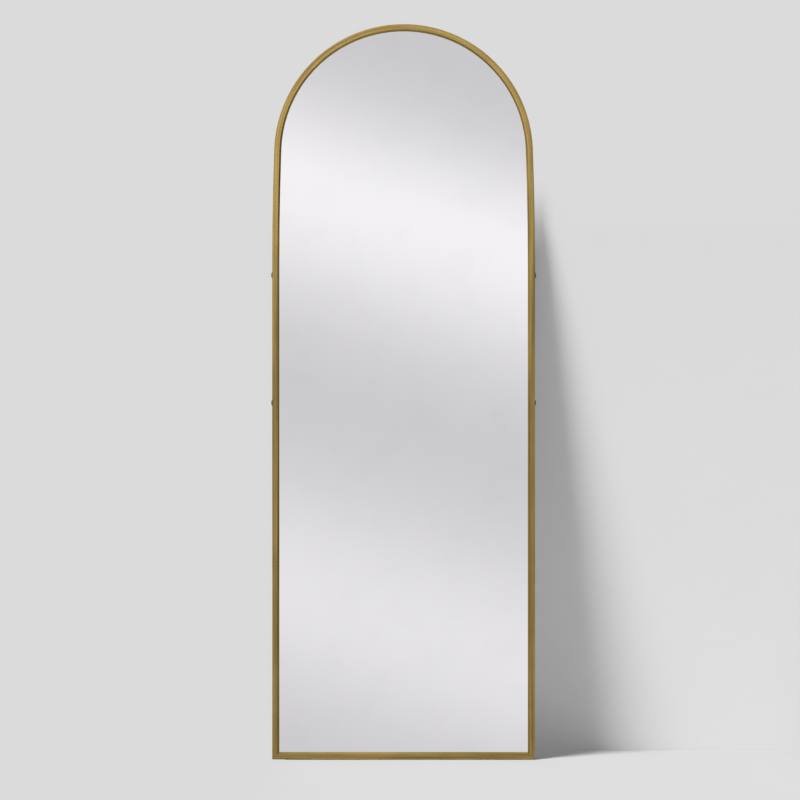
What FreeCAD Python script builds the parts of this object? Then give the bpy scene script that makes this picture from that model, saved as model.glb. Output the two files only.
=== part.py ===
import FreeCAD, Part
import math
import os

import Sketcher

# Arched leaning floor mirror with a fold-away stand.
#
# Frame of the part: X runs along the width, +Y runs from the glass to the back, +Z is up. The origin is on the
# floor, under the middle of the part. Lengths are in millimetres.
#
# The frame is one hollow extrusion, bent into an arch and closed by a mitred bottom rail. Places in its
# section are given as "inset" (from the outer edge towards the glass) and "depth" (from the front face back).

os.makedirs("parts", exist_ok=True)

DIMENSIONS = [
    # the whole mirror
    ("frame_width", 600.0, "outer width"),
    ("frame_height", 1679.0, "outer height above the floor pads"),
    ("frame_depth", 30.0, "from the front face to the back of the extrusion"),
    ("bumper_height", 2.0, "how far the wall bumpers stand behind the frame"),
    ("pad_thickness", 1.0, "floor pads"),
    # the outline: straight jambs, long haunch arcs and one crown arc, all tangent
    ("crown_radius", 295.5, "outer radius of the crown arc"),
    ("haunch_height", 1130.0, "height at which the jambs start to lean in"),
    # the extrusion
    ("chamber_width", 11.0, "hollow chamber with its walls"),
    ("wall", 1.4, "wall of the extrusion"),
    ("face_width", 12.0, "crowned front face"),
    ("face_rise", 0.35, "rise of the crowned face"),
    ("edge_radius", 1.5, "outer front edge"),
    ("lip_reach", 16.0, "inset of the lip in front of the glass"),
    ("slope_depth", 4.0, "depth at which the sloping lip ends"),
    ("lip_back", 5.2, "depth of the lip's rear face"),
    ("rear_lip_reach", 17.0, "inset of the lip that the springs press on"),
    ("rear_lip_front", 17.4, "depth of that lip's front face"),
    # the stack in the groove, from the front
    ("tape_thickness", 0.5, "glazing tape"),
    ("glass_thickness", 4.0, "mirror glass"),
    ("film_thickness", 0.3, "film on the back of the glass"),
    ("foam_thickness", 2.0, "foam pad"),
    ("board_thickness", 3.0, "backboard"),
    ("groove_play", 0.5, "room round the glass in the groove"),
    ("tape_setback", 0.5, "tape, behind the edge of the lip"),
    ("film_setback", 1.0, "film, inside the edge of the glass"),
    ("foam_setback", 0.5, "foam pad, inside the edge of the glass"),
    # springs
    ("spring_length", 50.0, "bowed spring, end to end"),
    ("spring_width", 4.4, "bowed spring, across"),
    ("spring_thickness", 0.5, "spring steel strip"),
    ("spring_inset", 14.9, "middle line of the springs"),
    # corner keys
    ("key_length", 45.0, "leg of a corner key, from the corner"),
    ("key_play", 0.2, "room round a key in the chamber"),
    ("key_bevel", 2.0, "bevelled ends of a key"),
    ("key_screw_radius", 2.0, "grub screws in the keys"),
    ("key_screw_length", 6.0, "grub screws in the keys"),
    ("key_screw_sink", 0.3, "outer end of a grub screw, below the back of the frame"),
    ("key_socket", 2.0, "their hexagon sockets, across flats and deep"),
    ("hole_play", 0.05, "room round a shank or a bush in its hole"),
    ("key_screw_place", 27.0, "grub screw, from the corner"),
    # the stand's places
    ("pivot_height", 1106.0, "upper side screws"),
    ("stay_height", 814.0, "lower side screws"),
    ("pivot_depth", 24.3, "side screws, from the front face"),
    ("screw_radius", 2.99, "shank of the side screws"),
    ("bore_radius", 3.05, "holes that turn on a side screw"),
    ("head_radius", 7.0, "head of a side screw"),
    ("head_height", 2.7, "head of a side screw"),
    ("head_rim", 0.8, "straight rim of a head, under its dome"),
    ("head_flat", 3.4, "flat middle of a head, round its socket"),
    ("dome_radius", 6.0, "dome between rim and flat"),
    ("head_gap", 0.1, "between a head and the frame"),
    ("head_socket", 4.0, "hexagon socket of a side screw, across flats"),
    ("head_socket_depth", 1.8, "the same, deep"),
    ("tip_bevel", 0.5, "bevel at the tip of a side screw"),
    ("screw_reach", 17.0, "upper screw, into its pivot block"),
    ("thread_play", 0.01, "between a screw and its thread"),
    ("bush_radius", 4.8, "nylon bush through a jamb"),
    # the U-shaped tube
    ("tube_width", 20.0, "tube, across the mirror"),
    ("tube_depth", 10.0, "tube, front to back"),
    ("tube_wall", 1.2, "wall of the tube"),
    ("tube_edge_radius", 1.5, "long edges of the tube"),
    ("tube_side", 279.5, "outer side of a leg, from the middle"),
    ("tube_bend", 45.0, "centreline radius of the lower bends"),
    ("tube_top_gap", 14.0, "top end of the tube, below the pivot"),
    ("tongue_length", 24.0, "tongue of a pivot block, down into the tube"),
    ("tongue_play", 0.15, "room round that tongue"),
    ("foot_thickness", 3.0, "rubber foot under the crossbar"),
    ("foot_clearance", 13.0, "underside of the feet, above the frame's bottom"),
    ("foot_place", 190.0, "rubber foot, from the middle"),
    ("foot_length", 36.0, "rubber foot, along the crossbar"),
    ("foot_width", 9.0, "rubber foot, front to back"),
    ("foot_corner", 2.0, "rounded corners of a foot"),
    ("stem_radius", 2.5, "stem that holds a foot in the tube"),
    ("stem_length", 3.5, "the same, above the foot"),
    # stays
    ("stay_width", 10.0, "stay bar"),
    ("stay_thickness", 2.5, "stay bar"),
    ("stay_outer", 287.1, "outer face of a stay, from the middle"),
    ("slot_travel", 17.3, "how far a pin can slide in its stay"),
    ("slot_width", 6.6, "slot in a stay"),
    ("stay_gap", 0.3, "between a stay and its neighbours"),
    ("nut_across", 10.0, "lock nut behind a stay, across flats"),
    ("nut_clearance", 0.8, "between that nut and the tube"),
    ("pin_radius", 2.0, "pin in the slot"),
    ("pin_shoulder", 3.5, "shoulder of the pin, between tube and stay"),
    ("pin_head", 4.5, "outer head of the pin"),
    ("pin_head_height", 1.2, "outer head of the pin"),
    ("pin_tail", 3.2, "riveted end of the pin, inside the tube"),
    ("pin_tail_height", 1.5, "the same, into the tube"),
    # hangers
    ("hanger_height", 1142.0, "middle of a hanger plate"),
    ("hanger_length", 40.0, "hanger plate, up and down"),
    ("hanger_reach", 30.0, "hanger plate, from the jamb towards the middle"),
    ("hanger_thickness", 1.5, "steel of the hanger plates"),
    ("keyhole_place", 270.0, "keyhole, from the middle"),
    ("keyhole_radius", 4.5, "round entry of a keyhole"),
    ("keyhole_slot", 5.0, "width of a keyhole's slot"),
    ("keyhole_drop", 6.0, "its round entry, below the middle of the plate"),
    ("keyhole_rise", 8.0, "top of its slot, above the middle of the plate"),
    ("hanger_gap", 0.1, "between a hanger plate and the jamb"),
    ("hanger_sink", 0.2, "rear leg of a hanger plate, inside the back"),
    ("hanger_step", 0.3, "between a hanger plate and the rear lip"),
    ("rivet_radius", 1.6, "blind rivets"),
    ("rivet_depth", 24.0, "rivets, from the front face"),
    ("rivet_step", 13.0, "rivets, above and below the middle of the plate"),
    ("rivet_head", 3.0, "head of a rivet, radius"),
    ("rivet_head_height", 0.9, "head of a rivet"),
    ("rivet_tail", 2.4, "blind end of a rivet, radius"),
    ("rivet_tail_height", 2.0, "blind end of a rivet"),
    # small rubber parts
    ("bumper_radius", 4.5, "wall bumpers"),
    ("upper_bumper_place", 80.0, "upper bumpers, from the middle"),
    ("lower_bumper_height", 70.0, "lower bumpers"),
    ("pad_length", 60.0, "floor pads"),
    ("pad_depth", 22.0, "floor pads"),
    ("pad_place", 240.0, "floor pads, from the middle"),
    # how far a cut runs past the faces it goes through
    ("overcut", 1.0, "past a face"),
]

# Springs: heights on the jambs, places along the rail, and degrees round the crown from its right end.
JAMB_SPRINGS = (160.0, 560.0, 960.0)
RAIL_SPRINGS = (-150.0, 150.0)
CROWN_SPRINGS = (20.0, 55.0, 90.0, 125.0, 160.0)

BUMPER_TAPER = -12.0  # degrees, the sides of the wall bumpers


class Size:
    """A length worked out from the sheet: its value in mm and the expression that gives it."""

    def __init__(self, value, text):
        self.value = float(value)
        self.text = text

    @staticmethod
    def of(number):
        if isinstance(number, Size):
            return number
        return Size(number, f"({float(number)!r})")

    def __add__(self, other):
        other = Size.of(other)
        return Size(self.value + other.value, f"({self.text} + {other.text})")

    def __sub__(self, other):
        other = Size.of(other)
        return Size(self.value - other.value, f"({self.text} - {other.text})")

    def __mul__(self, other):
        other = Size.of(other)
        return Size(self.value * other.value, f"({self.text} * {other.text})")

    def __truediv__(self, other):
        other = Size.of(other)
        return Size(self.value / other.value, f"({self.text} / {other.text})")

    def __radd__(self, other):
        return Size.of(other) + self

    def __rsub__(self, other):
        return Size.of(other) - self

    def __rmul__(self, other):
        return Size.of(other) * self

    def __neg__(self):
        return Size(-self.value, f"(-{self.text})")

    def root(self):
        return Size(math.sqrt(self.value), f"sqrt({self.text})")


def make_sheet(doc):
    """Writes the driving dimensions into a spreadsheet."""
    sheet = doc.addObject("Spreadsheet::Sheet", "Sizes")
    for row, (name, value, note) in enumerate(DIMENSIONS, start=1):
        sheet.set(f"A{row}", name)
        sheet.set(f"B{row}", str(value))
        sheet.set(f"C{row}", note)
        sheet.setAlias(f"B{row}", name)
    doc.recompute()
    return sheet


def size(name):
    """One driving dimension of the sheet."""
    return Size(SHEET.get(name), f"Sizes.{name}")


def bind(thing, prop, value):
    """Binds a property to a size."""
    thing.setExpression(prop, Size.of(value).text)


def new_body(label, x=0.0, depth=0.0, height=0.0):
    """A body placed across the mirror (x), back from the front face (depth) and above the frame's bottom."""
    part = DOC.addObject("PartDesign::Body", label)
    part.Label = label
    part.AllowCompound = True
    bind(part, "Placement.Base.x", x)
    bind(part, "Placement.Base.y", FRONT + depth)
    bind(part, "Placement.Base.z", size("pad_thickness") + height)
    BODIES.append(part)
    return part


def new_sketch(part, plane_role, name, offset=0.0):
    """A sketch on one of the body's own origin planes, moved along the plane's normal."""
    sketch = part.newObject("Sketcher::SketchObject", f"{part.Label}_{name}")
    plane = next(f for f in part.Origin.OriginFeatures if f.Role == plane_role)
    sketch.AttachmentSupport = [(plane, "")]
    sketch.MapMode = "FlatFace"
    bind(sketch, "AttachmentOffset.Base.z", offset)
    return sketch


def place_point(sketch, edge, end, x, y):
    """Fixes one end of a sketch edge at (x, y), both bound to the sheet."""
    for axis, value in (("DistanceX", Size.of(x)), ("DistanceY", Size.of(y))):
        index = sketch.addConstraint(Sketcher.Constraint(axis, -1, 1, edge, end, value.value))
        sketch.setExpression(f"Constraints[{index}]", value.text)


def arc_between(start, end, radius):
    """The shorter arc from start to end. It turns left when the radius is positive, right when negative."""
    chord = end - start
    half = chord.Length / 2
    left = FreeCAD.Vector(-chord.y, chord.x, 0).normalize()
    rise = math.sqrt(max(radius * radius - half * half, 0.0))
    centre = (start + end) * 0.5 + left * math.copysign(rise, radius)
    first, last = (start, end) if radius > 0 else (end, start)
    angles = [math.atan2(p.y - centre.y, p.x - centre.x) for p in (first, last)]
    if angles[1] < angles[0]:
        angles[1] += 2 * math.pi
    circle = Part.Circle(centre, FreeCAD.Vector(0, 0, 1), abs(radius))
    return Part.ArcOfCircle(circle, angles[0], angles[1])


def draw_chain(sketch, points, closed=True):
    """Draws lines and arcs through points. A point is (x, y), or (x, y, radius) when an arc leaves it."""
    corners = [FreeCAD.Vector(Size.of(p[0]).value, Size.of(p[1]).value, 0) for p in points]
    count = len(points) if closed else len(points) - 1
    ends = []
    for i in range(count):
        start, end = corners[i], corners[(i + 1) % len(points)]
        if len(points[i]) == 3:
            radius = Size.of(points[i][2])
            edge = sketch.addGeometry(arc_between(start, end, radius.value))
            index = sketch.addConstraint(Sketcher.Constraint("Radius", edge, abs(radius.value)))
            sketch.setExpression(f"Constraints[{index}]", radius.text if radius.value > 0 else (-radius).text)
            ends.append((edge, 1, 2) if radius.value > 0 else (edge, 2, 1))
        else:
            edge = sketch.addGeometry(Part.LineSegment(start, end))
            ends.append((edge, 1, 2))
        place_point(sketch, edge, ends[-1][1], points[i][0], points[i][1])
    for i in range(count if closed else count - 1):
        edge, _, last = ends[i]
        following, first, _ = ends[(i + 1) % count]
        sketch.addConstraint(Sketcher.Constraint("Coincident", edge, last, following, first))
    if not closed:
        place_point(sketch, ends[-1][0], ends[-1][2], points[-1][0], points[-1][1])


def draw_circle(sketch, x, y, radius):
    """Draws a circle with its centre and radius bound to the sheet."""
    x, y, radius = Size.of(x), Size.of(y), Size.of(radius)
    centre = FreeCAD.Vector(x.value, y.value, 0)
    edge = sketch.addGeometry(Part.Circle(centre, FreeCAD.Vector(0, 0, 1), radius.value))
    place_point(sketch, edge, 3, x, y)
    index = sketch.addConstraint(Sketcher.Constraint("Radius", edge, radius.value))
    sketch.setExpression(f"Constraints[{index}]", radius.text)


def rectangle(x0, x1, y0, y1):
    """The corners of a rectangle."""
    return [(x0, y0), (x1, y0), (x1, y1), (x0, y1)]


def pad(sketch, length, reverse=False, both=False):
    """Pads a sketch along its normal, against it, or half each way."""
    part = sketch.getParent()
    feature = part.newObject("PartDesign::Pad", f"{sketch.Name}_pad")
    feature.Profile = sketch
    feature.Reversed = reverse
    feature.SideType = "Symmetric" if both else "One side"
    bind(feature, "Length", length)
    return feature


def pocket(sketch, length, reverse=False, both=False):
    """Cuts a sketch out of its body and tests that something was cut."""
    part = sketch.getParent()
    DOC.recompute()
    before = part.Shape.Volume
    feature = part.newObject("PartDesign::Pocket", f"{sketch.Name}_cut")
    feature.Profile = sketch
    feature.Reversed = reverse
    feature.SideType = "Symmetric" if both else "One side"
    bind(feature, "Length", length)
    DOC.recompute()
    if not part.Shape.Volume < before - 0.01:
        raise RuntimeError(f"{feature.Name} cuts nothing")
    return feature


def revolve(sketch, axis="H_Axis"):
    """Turns a sketch a full turn about one of its own axes."""
    part = sketch.getParent()
    feature = part.newObject("PartDesign::Revolution", f"{sketch.Name}_turn")
    feature.Profile = sketch
    feature.ReferenceAxis = (sketch, [axis])
    feature.Angle = 360.0
    return feature


def pipe(profile, spine):
    """Sweeps a profile along a tangent path."""
    part = profile.getParent()
    feature = part.newObject("PartDesign::AdditivePipe", f"{profile.Name}_sweep")
    feature.Profile = profile
    feature.Spine = (spine, [])
    return feature


def mirror_in_x(feature):
    """Repeats a feature on the other side of the mirror's middle plane."""
    part = feature.getParent()
    copy = part.newObject("PartDesign::Mirrored", f"{feature.Name}_mirror")
    plane = next(f for f in part.Origin.OriginFeatures if f.Role == "YZ_Plane")
    copy.Originals = [feature]
    copy.MirrorPlane = (plane, [""])
    part.Tip = copy
    return copy


class Arch:
    """The arch's outline at any inset: straight jambs, two long haunch arcs and a crown arc, all tangent."""

    def __init__(self):
        self.half = size("frame_width") / 2
        self.crown = size("crown_radius")
        self.spring = size("haunch_height")
        self.centre = size("frame_height") - self.crown
        rise = self.centre - self.spring
        self.haunch = (self.half * self.half + rise * rise - self.crown * self.crown) / (
            2 * (self.half - self.crown)
        )
        self.lean_x = (self.haunch - self.half) / (self.haunch - self.crown)
        self.lean_z = rise / (self.haunch - self.crown)

    def over(self, inset):
        """Points from the right springing over the crown to the left one."""
        x = self.half - inset
        crown = self.crown - inset
        haunch = self.haunch - inset
        join_x = crown * self.lean_x
        join_z = self.centre + crown * self.lean_z
        return [
            (x, self.spring, haunch),
            (join_x, join_z, crown),
            (-join_x, join_z, haunch),
            (-x, self.spring),
        ]

    def path(self, inset=0.0):
        """The open line up one jamb, over the arch and down the other."""
        x = self.half - inset
        return [(x, 0.0), *self.over(inset), (-x, 0.0)]

    def loop(self, inset):
        """The closed outline with a straight foot, at the same inset all round."""
        x = self.half - inset
        return [(-x, inset), (x, inset), *self.over(inset)]


def section_outline(place):
    """The extrusion's outer outline. place(inset, depth) gives the sketch coordinates."""
    depth, rise, edge = size("frame_depth"), size("face_rise"), size("edge_radius")
    chamber, lip, rear = size("chamber_width"), size("lip_reach"), size("rear_lip_reach")
    face, rear_front = size("face_width"), size("rear_lip_front")
    half_face = (face - edge) / 2
    crown = (half_face * half_face + rise * rise) / (2 * rise)
    return [
        place(0.0, depth),
        (*place(0.0, rise + edge), -edge),
        (*place(edge, rise), -crown),
        place(face, rise),
        place(lip, size("slope_depth")),
        place(lip, size("lip_back")),
        place(chamber, size("lip_back")),
        place(chamber, rear_front),
        place(rear, rear_front),
        place(rear, rear_front + size("wall")),
        place(chamber, rear_front + size("wall")),
        place(chamber, depth),
    ]


def section_chamber(place):
    """The extrusion's hollow chamber."""
    wall = size("wall")
    front = size("face_rise") + wall
    inner, back = size("chamber_width") - wall, size("frame_depth") - wall
    return [place(wall, front), place(inner, front), place(inner, back), place(wall, back)]


def draw_section(sketch, place):
    """Draws the extrusion's outline and its chamber."""
    draw_chain(sketch, section_outline(place))
    draw_chain(sketch, section_chamber(place))


def cut_mitres(part, keeps_jamb):
    """Cuts both bottom corners at 45 degrees, for the jambs or for the rail."""
    half, reach = ARCH.half, 1.5 * size("rear_lip_reach")
    sketch = new_sketch(part, "XZ_Plane", "mitre", offset=size("overcut"))
    for side in (1, -1):
        third = (side * (half - reach), 0.0) if keeps_jamb else (side * half, reach)
        draw_chain(sketch, [(side * half, 0.0), third, (side * (half - reach), reach)])
    pocket(sketch, size("frame_depth") + 2 * size("overcut"))


def key_screw_places():
    """The four grub screws of the corner keys, as seen from behind: one in each leg of a key."""
    middle, along = size("chamber_width") / 2, size("key_screw_place")
    places = []
    for side in (1, -1):
        places.append((side * (ARCH.half - middle), along))
        places.append((side * (ARCH.half - along), middle))
    return places


def arch_frame():
    """Jambs and arch: one hollow extrusion, bent, mitred at the feet and drilled."""
    part = new_body("arch_frame")
    spine = new_sketch(part, "XZ_Plane", "path")
    draw_chain(spine, ARCH.path(), closed=False)
    section = new_sketch(part, "XY_Plane", "section")
    draw_section(section, lambda inset, depth: (ARCH.half - inset, depth))
    pipe(section, spine)
    cut_mitres(part, keeps_jamb=True)

    across = new_sketch(part, "YZ_Plane", "side_holes")
    for height in ("pivot_height", "stay_height"):
        draw_circle(across, size("pivot_depth"), size(height), size("bush_radius") + size("hole_play"))
    pocket(across, size("frame_width") + 2 * size("overcut"), both=True)

    rivets = new_sketch(part, "YZ_Plane", "rivet_holes")
    for depth, height in rivet_places():
        draw_circle(rivets, depth, height, size("rivet_radius") + size("hole_play"))
    pocket(rivets, size("frame_width") - 4 * size("wall"), both=True)

    grubs = new_sketch(part, "XZ_Plane", "key_screw_holes", offset=-size("frame_depth"))
    for x, z in key_screw_places()[::2]:
        draw_circle(grubs, x, z, size("key_screw_radius") + size("hole_play"))
    pocket(grubs, size("wall") + size("key_play"), reverse=True)


def bottom_rail():
    """The straight length of the same extrusion that closes the arch."""
    part = new_body("bottom_rail")
    section = new_sketch(part, "YZ_Plane", "section")
    draw_section(section, lambda inset, depth: (depth, Size.of(inset)))
    pad(section, size("frame_width"), both=True)
    cut_mitres(part, keeps_jamb=False)
    grubs = new_sketch(part, "XZ_Plane", "key_screw_holes", offset=-size("frame_depth"))
    for x, z in key_screw_places()[1::2]:
        draw_circle(grubs, x, z, size("key_screw_radius") + size("hole_play"))
    pocket(grubs, size("wall") + size("key_play"), reverse=True)


def corner_key(side):
    """An L-shaped key that fills the chambers on both sides of a mitre."""
    near = size("wall") + size("key_play")
    far = size("chamber_width") - near
    front = size("face_rise") + near
    thickness = size("frame_depth") - near - front
    length, bevel = size("key_length"), size("key_bevel")
    part = new_body(f"corner_key_{side_name(side)}", depth=front)
    outline = [
        (near, near),
        (near, length - bevel),
        (near + bevel, length),
        (far - bevel, length),
        (far, length - bevel),
        (far, far),
        (length - bevel, far),
        (length, far - bevel),
        (length, near + bevel),
        (length - bevel, near),
    ]
    sketch = new_sketch(part, "XZ_Plane", "outline")
    draw_chain(sketch, [(side * (ARCH.half - inset), z) for inset, z in outline])
    pad(sketch, thickness, reverse=True)
    threads = new_sketch(part, "XZ_Plane", "threads", offset=-thickness)
    for x, z in key_screw_places()[:2] if side > 0 else key_screw_places()[2:]:
        draw_circle(threads, x, z, size("key_screw_radius"))
    pocket(threads, size("key_screw_length"), reverse=True)


def corner_screws():
    """Four socket grub screws, from the back through the extrusion into the keys."""
    part = new_body("corner_screws", depth=size("frame_depth") - size("key_screw_sink"))
    shanks = new_sketch(part, "XZ_Plane", "shanks")
    for x, z in key_screw_places():
        draw_circle(shanks, x, z, size("key_screw_radius"))
    pad(shanks, size("key_screw_length"))
    sockets = new_sketch(part, "XZ_Plane", "sockets")
    for x, z in key_screw_places():
        draw_chain(sockets, hexagon(x, z, size("key_socket")))
    pocket(sockets, size("key_socket"), reverse=True)


def hexagon(x, y, across):
    """A hexagon about (x, y) with two flats square to the sketch's horizontal axis."""
    x, y, radius = Size.of(x), Size.of(y), across / math.sqrt(3)
    angles = [math.radians(30 + 60 * i) for i in range(6)]
    return [(x + radius * math.cos(a), y + radius * math.sin(a)) for a in angles]


def side_name(side):
    """The photograph's right is +X."""
    return "right" if side > 0 else "left"


def plate(label, inset, depth, thickness):
    """One layer of the stack in the groove, cut to the arch."""
    part = new_body(label, depth=depth)
    sketch = new_sketch(part, "XZ_Plane", "outline")
    draw_chain(sketch, ARCH.loop(inset))
    pad(sketch, thickness, reverse=True)


def glass_stack():
    """Tape, glass, film, foam and backboard, from the front to the back."""
    groove = size("chamber_width") + size("groove_play")
    depth = size("lip_back")
    tape = new_body("glazing_tape", depth=depth)
    ring = new_sketch(tape, "XZ_Plane", "ring")
    draw_chain(ring, ARCH.loop(groove))
    draw_chain(ring, ARCH.loop(size("lip_reach") - size("tape_setback")))
    pad(ring, size("tape_thickness"), reverse=True)
    depth = depth + size("tape_thickness")
    layers = (
        ("mirror_glass", groove, "glass_thickness"),
        ("safety_film", groove + size("film_setback"), "film_thickness"),
        ("foam_pad", groove + size("foam_setback"), "foam_thickness"),
        ("backboard", groove, "board_thickness"),
    )
    for label, inset, thickness in layers:
        plate(label, inset, depth, size(thickness))
        depth = depth + size(thickness)
    return depth


def spring_strip(board_back):
    """A bowed strip: its ends press on the backboard and its middle on the rear lip."""
    half, thick = size("spring_length").value / 2, size("spring_thickness").value
    low, high = board_back.value, size("rear_lip_front").value
    width = size("spring_width").value

    def corner(along, depth):
        return FreeCAD.Vector(along, depth, -width / 2)

    under = Part.Arc(corner(-half, low), corner(0, high - thick), corner(half, low))
    over = Part.Arc(corner(half, low + thick), corner(0, high), corner(-half, low + thick))
    right_end = Part.LineSegment(corner(half, low), corner(half, low + thick))
    left_end = Part.LineSegment(corner(-half, low + thick), corner(-half, low))
    outline = Part.Wire([edge.toShape() for edge in (under, right_end, over, left_end)])
    return Part.Face(outline).extrude(FreeCAD.Vector(0, 0, width))


def spring_places():
    """Middle and direction of each spring, in the plane of the mirror."""
    inset = size("spring_inset").value
    half = ARCH.half.value - inset
    places = [(side * half, z, 90.0) for side in (1, -1) for z in JAMB_SPRINGS]
    places += [(x, inset, 0.0) for x in RAIL_SPRINGS]
    radius = ARCH.crown.value - inset
    for angle in CROWN_SPRINGS:
        turn = math.radians(angle)
        x, z = radius * math.cos(turn), ARCH.centre.value + radius * math.sin(turn)
        places.append((x, z, angle + 90.0))
    return places


def spring_clips(board_back):
    """Bowed springs all round, between the backboard and the rear lip."""
    springs = []
    for x, z, direction in spring_places():
        strip = spring_strip(board_back)
        turn = FreeCAD.Rotation(FreeCAD.Vector(0, 1, 0), -direction)
        strip.Placement = FreeCAD.Placement(FreeCAD.Vector(x, 0, z), turn)
        springs.append(strip)
    group = DOC.addObject("Part::Feature", "spring_clips")
    group.Label = "spring_clips"
    group.Shape = Part.makeCompound(springs)
    group.Placement.Base = FreeCAD.Vector(0, FRONT.value, size("pad_thickness").value)
    BODIES.append(group)


def floor_pad(side):
    """A rubber strip under one end of the rail."""
    part = new_body(f"floor_pad_{side_name(side)}", height=-size("pad_thickness"))
    sketch = new_sketch(part, "XY_Plane", "outline")
    middle, long, deep = side * size("pad_place"), size("pad_length") / 2, size("pad_depth") / 2
    centre = size("frame_depth") / 2
    draw_chain(sketch, rectangle(middle - long, middle + long, centre - deep, centre + deep))
    pad(sketch, size("pad_thickness"))


def bumpers(label, x, z):
    """A pair of rubber buttons on the back of the extrusion."""
    part = new_body(label, depth=size("frame_depth"))
    sketch = new_sketch(part, "XZ_Plane", "outline")
    for side in (1, -1):
        draw_circle(sketch, side * x, z, size("bumper_radius"))
    button = pad(sketch, size("bumper_height"), reverse=True)
    button.TaperAngle = BUMPER_TAPER


def wall_bumpers():
    """Two buttons near the crown, which touch the wall, and two low on the jambs."""
    middle = size("chamber_width") / 2
    x = size("upper_bumper_place")
    radius = ARCH.crown - middle
    bumpers("upper_bumpers", x, ARCH.centre + (radius * radius - x * x).root())
    bumpers("lower_bumpers", ARCH.half - middle, size("lower_bumper_height"))


def rivet_places():
    """Depth and height of the two rivets of a hanger plate."""
    depth, middle, step = size("rivet_depth"), size("hanger_height"), size("rivet_step")
    return [(depth, middle - step), (depth, middle + step)]


def hanger_plate(side):
    """An angle on the inner side of a jamb. Its rear leg has a keyhole and lies just inside the back."""
    part = new_body(f"hanger_plate_{side_name(side)}", height=size("hanger_height"))
    outer = ARCH.half - size("chamber_width") - size("hanger_gap")
    thick, past = size("hanger_thickness"), size("overcut")
    inner, back = outer - size("hanger_reach"), size("frame_depth") - size("hanger_sink")
    front = size("rear_lip_front") + size("wall") + size("hanger_step")
    angle = [
        (outer, front),
        (outer, back),
        (inner, back),
        (inner, back - thick),
        (outer - thick, back - thick),
        (outer - thick, front),
    ]
    sketch = new_sketch(part, "XY_Plane", "angle")
    draw_chain(sketch, [(side * x, y) for x, y in angle])
    pad(sketch, size("hanger_length"), both=True)

    x, low, half = side * size("keyhole_place"), -size("keyhole_drop"), size("keyhole_slot") / 2
    top = size("keyhole_rise") - half
    entry = new_sketch(part, "XZ_Plane", "keyhole_entry", offset=-(back + past))
    draw_circle(entry, x, low, size("keyhole_radius"))
    pocket(entry, thick + 2 * past, reverse=True)
    slot = new_sketch(part, "XZ_Plane", "keyhole_slot", offset=-(back + past))
    outline = [(x - half, low), (x + half, low), (x + half, top, half), (x, top + half, half), (x - half, top)]
    draw_chain(slot, outline)
    pocket(slot, thick + 2 * past, reverse=True)

    holes = new_sketch(part, "YZ_Plane", "rivet_holes", offset=side * (outer + past))
    for depth, height in rivet_places():
        draw_circle(holes, depth, height - size("hanger_height"), size("rivet_radius") + size("hole_play"))
    pocket(holes, thick + 2 * past, reverse=side < 0)


def hanger_rivets():
    """Four blind rivets that hold the hanger plates to the inner walls of the jambs."""
    part = new_body("hanger_rivets")
    wall_inner = ARCH.half - size("chamber_width")
    plate_inner = wall_inner - size("hanger_gap") - size("hanger_thickness")
    wall_outer = wall_inner + size("wall")
    stretches = (
        ("heads", plate_inner - size("rivet_head_height"), plate_inner, size("rivet_head")),
        ("shanks", plate_inner, wall_outer, size("rivet_radius")),
        ("tails", wall_outer, wall_outer + size("rivet_tail_height"), size("rivet_tail")),
    )
    for name, start, end, radius in stretches:
        for side in (1, -1):
            sketch = new_sketch(part, "YZ_Plane", f"{name}_{side_name(side)}", offset=side * start)
            for depth, height in rivet_places():
                draw_circle(sketch, depth, height, radius)
            pad(sketch, end - start, reverse=side < 0)


def turned_piece(label, outline, height, side):
    """A round piece on one of the side screws' axes. The outline is (distance from the middle, radius)."""
    part = new_body(label, depth=size("pivot_depth"), height=height)
    sketch = new_sketch(part, "XY_Plane", "half_section")
    points = []
    for x, y, *radius in outline:
        points.append((side * x, y, *[side * r for r in radius]))
    draw_chain(sketch, points)
    revolve(sketch)
    return part


def side_screw(label, height, inner_end, side):
    """A socket button-head screw, put in from the side of the frame."""
    seat = ARCH.half + size("head_gap")
    tip = seat + size("head_height")
    shank, head, bevel = size("screw_radius"), size("head_radius"), size("tip_bevel")
    outline = [
        (inner_end, 0.0),
        (inner_end, shank - bevel),
        (inner_end + bevel, shank),
        (seat, shank),
        (seat, head),
        (seat + size("head_rim"), head, -size("dome_radius")),
        (tip, size("head_flat")),
        (tip, 0.0),
    ]
    part = turned_piece(label, outline, height, side)
    socket = new_sketch(part, "YZ_Plane", "socket", offset=side * (tip + size("overcut")))
    draw_chain(socket, hexagon(0.0, 0.0, size("head_socket")))
    pocket(socket, size("head_socket_depth") + size("overcut"), reverse=side < 0)


def bush(label, height, inner_end, side):
    """A plain nylon bush through both walls of a jamb."""
    outer_end = ARCH.half - size("head_gap")
    bore, outside = size("bore_radius"), size("bush_radius")
    outline = [(inner_end, bore), (outer_end, bore), (outer_end, outside), (inner_end, outside)]
    turned_piece(label, outline, height, side)


def stay_fixings(side):
    """The fixed lower screw with its bush and the lock nut that keeps the stay on it."""
    name, height, gap = side_name(side), size("stay_height"), size("stay_gap")
    bush(f"stay_bush_{name}", height, size("stay_outer") + gap, side)
    side_screw(f"stay_screw_{name}", height, size("tube_side") + size("nut_clearance"), side)
    part = new_body(f"stay_nut_{name}", depth=size("pivot_depth"), height=height)
    face = size("stay_outer") - size("stay_thickness") - gap
    nut = new_sketch(part, "YZ_Plane", "hexagon", offset=side * face)
    draw_chain(nut, hexagon(0.0, 0.0, size("nut_across")))
    draw_circle(nut, 0.0, 0.0, size("screw_radius") + size("thread_play"))
    pad(nut, face - size("tube_side") - size("nut_clearance"), reverse=side > 0)


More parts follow.
